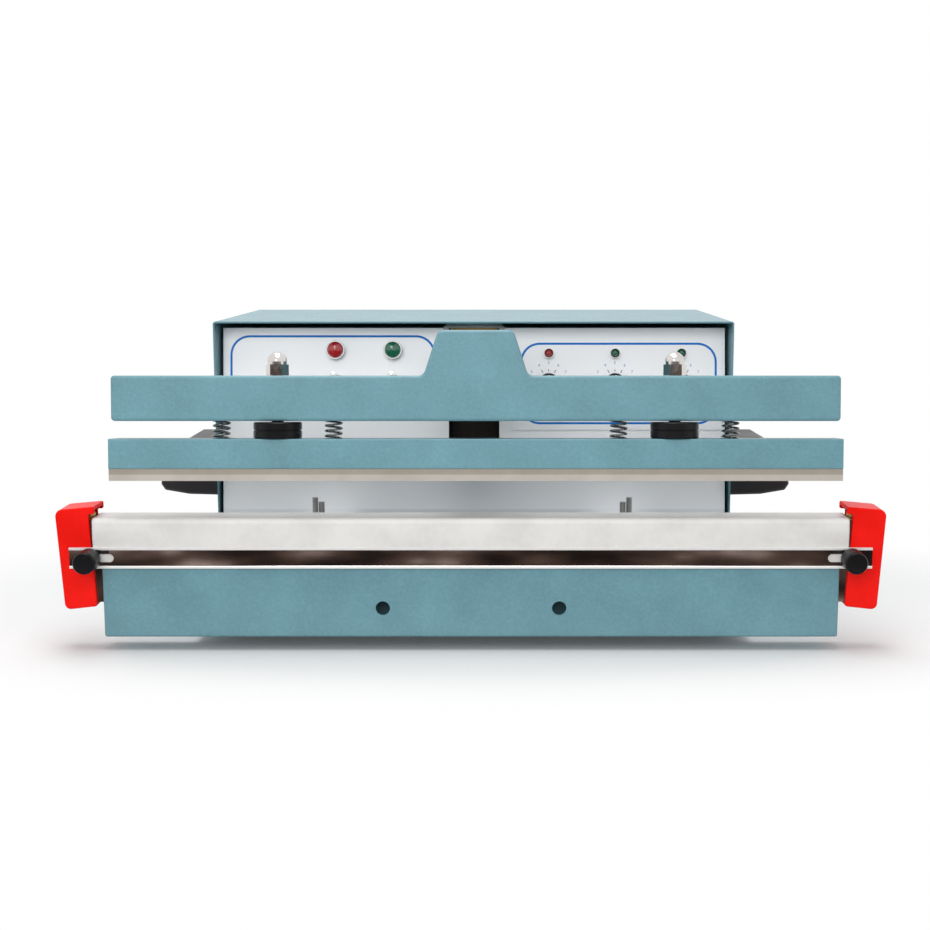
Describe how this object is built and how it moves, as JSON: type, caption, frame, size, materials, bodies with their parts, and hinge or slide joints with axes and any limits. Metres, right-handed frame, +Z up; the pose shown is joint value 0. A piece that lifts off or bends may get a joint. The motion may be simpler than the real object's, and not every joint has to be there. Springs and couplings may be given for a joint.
{
  "type": "impulse heat sealer",
  "caption": "Table-top impulse heat sealer: a sprung press arm driven by a magnet closes on a long cloth-covered sealing bar in front of a control cabinet.",
  "frame": {"origin": "on the floor, in the middle of the machine's plan", "axes": "+X along the sealing bar to the operator's right, -Y to the front, +Z up"},
  "size_m": [0.6912, 0.4244, 0.2695],
  "materials": {
    "teal_paint": "hammered enamel",
    "white_panel": "gloss enamel",
    "bright_chrome": "polished",
    "zinc": "plated",
    "dark_steel": "oiled",
    "spring_steel": "plated",
    "nichrome": "satin",
    "black_plastic": "satin",
    "red_plastic": "gloss",
    "lens_red": "gloss",
    "lens_green": "gloss",
    "insulation": "matt",
    "board": "satin",
    "silicone": "matt",
    "black_rubber": "matt",
    "tan_buffer": "matt",
    "cloth": "smooth woven",
    "brass": "satin",
    "laminated_iron": "varnished",
    "winding": "taped"
  },
  "bodies": {
    "machine": {"rubber_feet": "black_rubber", "base_pan": "teal_paint", "sealing_bar": "teal_paint", "element_bed": "insulation", "heating_element": "nichrome", "ptfe_cloth": "cloth", "rear_cloth_strip": "zinc", "clamp_strip": "bright_chrome", "end_brackets": "zinc", "element_terminals": "brass", "end_cap_left": "red_plastic", "end_cap_right": "red_plastic", "tie_brackets": "white_panel", "tie_screws": "zinc", "cabinet_cover": "teal_paint", "front_panel": "white_panel", "control_plate": "white_panel", "slot_frame": "zinc", "rear_panel": "teal_paint", "carry_handle_left": "black_plastic", "carry_handle_right": "black_plastic", "handle_screws": "zinc", "pilot_lamp_red": "lens_red", "pilot_lamp_green": "lens_green", "small_lamp_red": "lens_red", "small_lamps_green": "lens_green", "lamp_bezels": "bright_chrome", "toggle_bodies": "zinc", "timer_pots": "zinc", "control_board": "board", "pivot_stand": "dark_steel", "pivot_shaft": "dark_steel", "magnet_yoke": "laminated_iron", "magnet_coil": "winding", "return_spring": "spring_steel", "transformer_core": "laminated_iron", "transformer_coil": "winding", "mains_inlet": "black_plastic", "fuse_holder": "black_plastic"},
    "arm": {"lever": "teal_paint", "pivot_bush": "brass", "tail_pin": "dark_steel", "rest_buffer": "tan_buffer", "armature": "laminated_iron", "press_beam": "teal_paint", "bar_springs": "spring_steel"},
    "press_bar": {"pressure_bar": "teal_paint", "silicone_pad": "silicone", "guide_bolts": "zinc", "dome_nuts": "bright_chrome"},
    "wheel_left": {"adjuster_wheel_left": "black_plastic"},
    "wheel_right": {"adjuster_wheel_right": "black_plastic"},
    "clamp_left": {"clamp_knob_left": "black_plastic"},
    "clamp_right": {"clamp_knob_right": "black_plastic"},
    "timer_1": {"timer_knob_1": "black_plastic"},
    "timer_2": {"timer_knob_2": "black_plastic"},
    "timer_3": {"timer_knob_3": "black_plastic"},
    "toggle_left": {"toggle_lever_left": "bright_chrome"},
    "toggle_right": {"toggle_lever_right": "bright_chrome"},
    "fuse": {"fuse_cap": "black_plastic"}
  },
  "joints": [
    {"name": "arm_swing", "type": "hinge", "parent": "machine", "child": "arm", "pos_m": [0, 0.12325, 0.205], "axis": [1, 0, 0], "range_deg": [0, 5.95], "stiffness_Nm_per_rad": 120, "springref_deg": -20.05, "deforming": ["return_spring"]},
    {"name": "press_bar_float", "type": "slide", "parent": "arm", "child": "press_bar", "axis": [0, 0.1037, 0.9946], "range_m": [0, 0.0008], "stiffness_N_per_m": 20000, "springref_m": -0.005, "deforming": ["bar_springs"]},
    {"name": "wheel_left_turn", "type": "hinge", "parent": "press_bar", "child": "wheel_left", "pos_m": [-0.1605, -0.17552, 0.17933], "axis": [0, 0.1037, 0.9946], "continuous": true},
    {"name": "wheel_right_turn", "type": "hinge", "parent": "press_bar", "child": "wheel_right", "pos_m": [0.1695, -0.17552, 0.17933], "axis": [0, 0.1037, 0.9946], "continuous": true},
    {"name": "clamp_left_turn", "type": "hinge", "parent": "machine", "child": "clamp_left", "pos_m": [-0.3165, -0.18975, 0.0805], "axis": [0, 1, 0], "continuous": true},
    {"name": "clamp_right_turn", "type": "hinge", "parent": "machine", "child": "clamp_right", "pos_m": [0.3165, -0.18975, 0.0805], "axis": [0, 1, 0], "continuous": true},
    {"name": "timer_1_turn", "type": "hinge", "parent": "machine", "child": "timer_1", "pos_m": [0.0695, -0.02525, 0.2109], "axis": [0, 0.9893, -0.1461], "range_deg": [-140, 140]},
    {"name": "timer_2_turn", "type": "hinge", "parent": "machine", "child": "timer_2", "pos_m": [0.1311, -0.02525, 0.2109], "axis": [0, 0.9893, -0.1461], "range_deg": [-140, 140]},
    {"name": "timer_3_turn", "type": "hinge", "parent": "machine", "child": "timer_3", "pos_m": [0.1927, -0.02525, 0.2109], "axis": [0, 0.9893, -0.1461], "range_deg": [-140, 140]},
    {"name": "toggle_left_throw", "type": "hinge", "parent": "machine", "child": "toggle_left", "pos_m": [-0.1287, -0.02737, 0.21122], "axis": [1, 0, 0], "range_deg": [0, 32]},
    {"name": "toggle_right_throw", "type": "hinge", "parent": "machine", "child": "toggle_right", "pos_m": [-0.0754, -0.02737, 0.21122], "axis": [1, 0, 0], "range_deg": [0, 32]},
    {"name": "fuse_cap_turn", "type": "hinge", "parent": "machine", "child": "fuse", "pos_m": [0.09, 0.20325, 0.06], "axis": [0, 1, 0], "range_deg": [0, 60]}
  ]
}
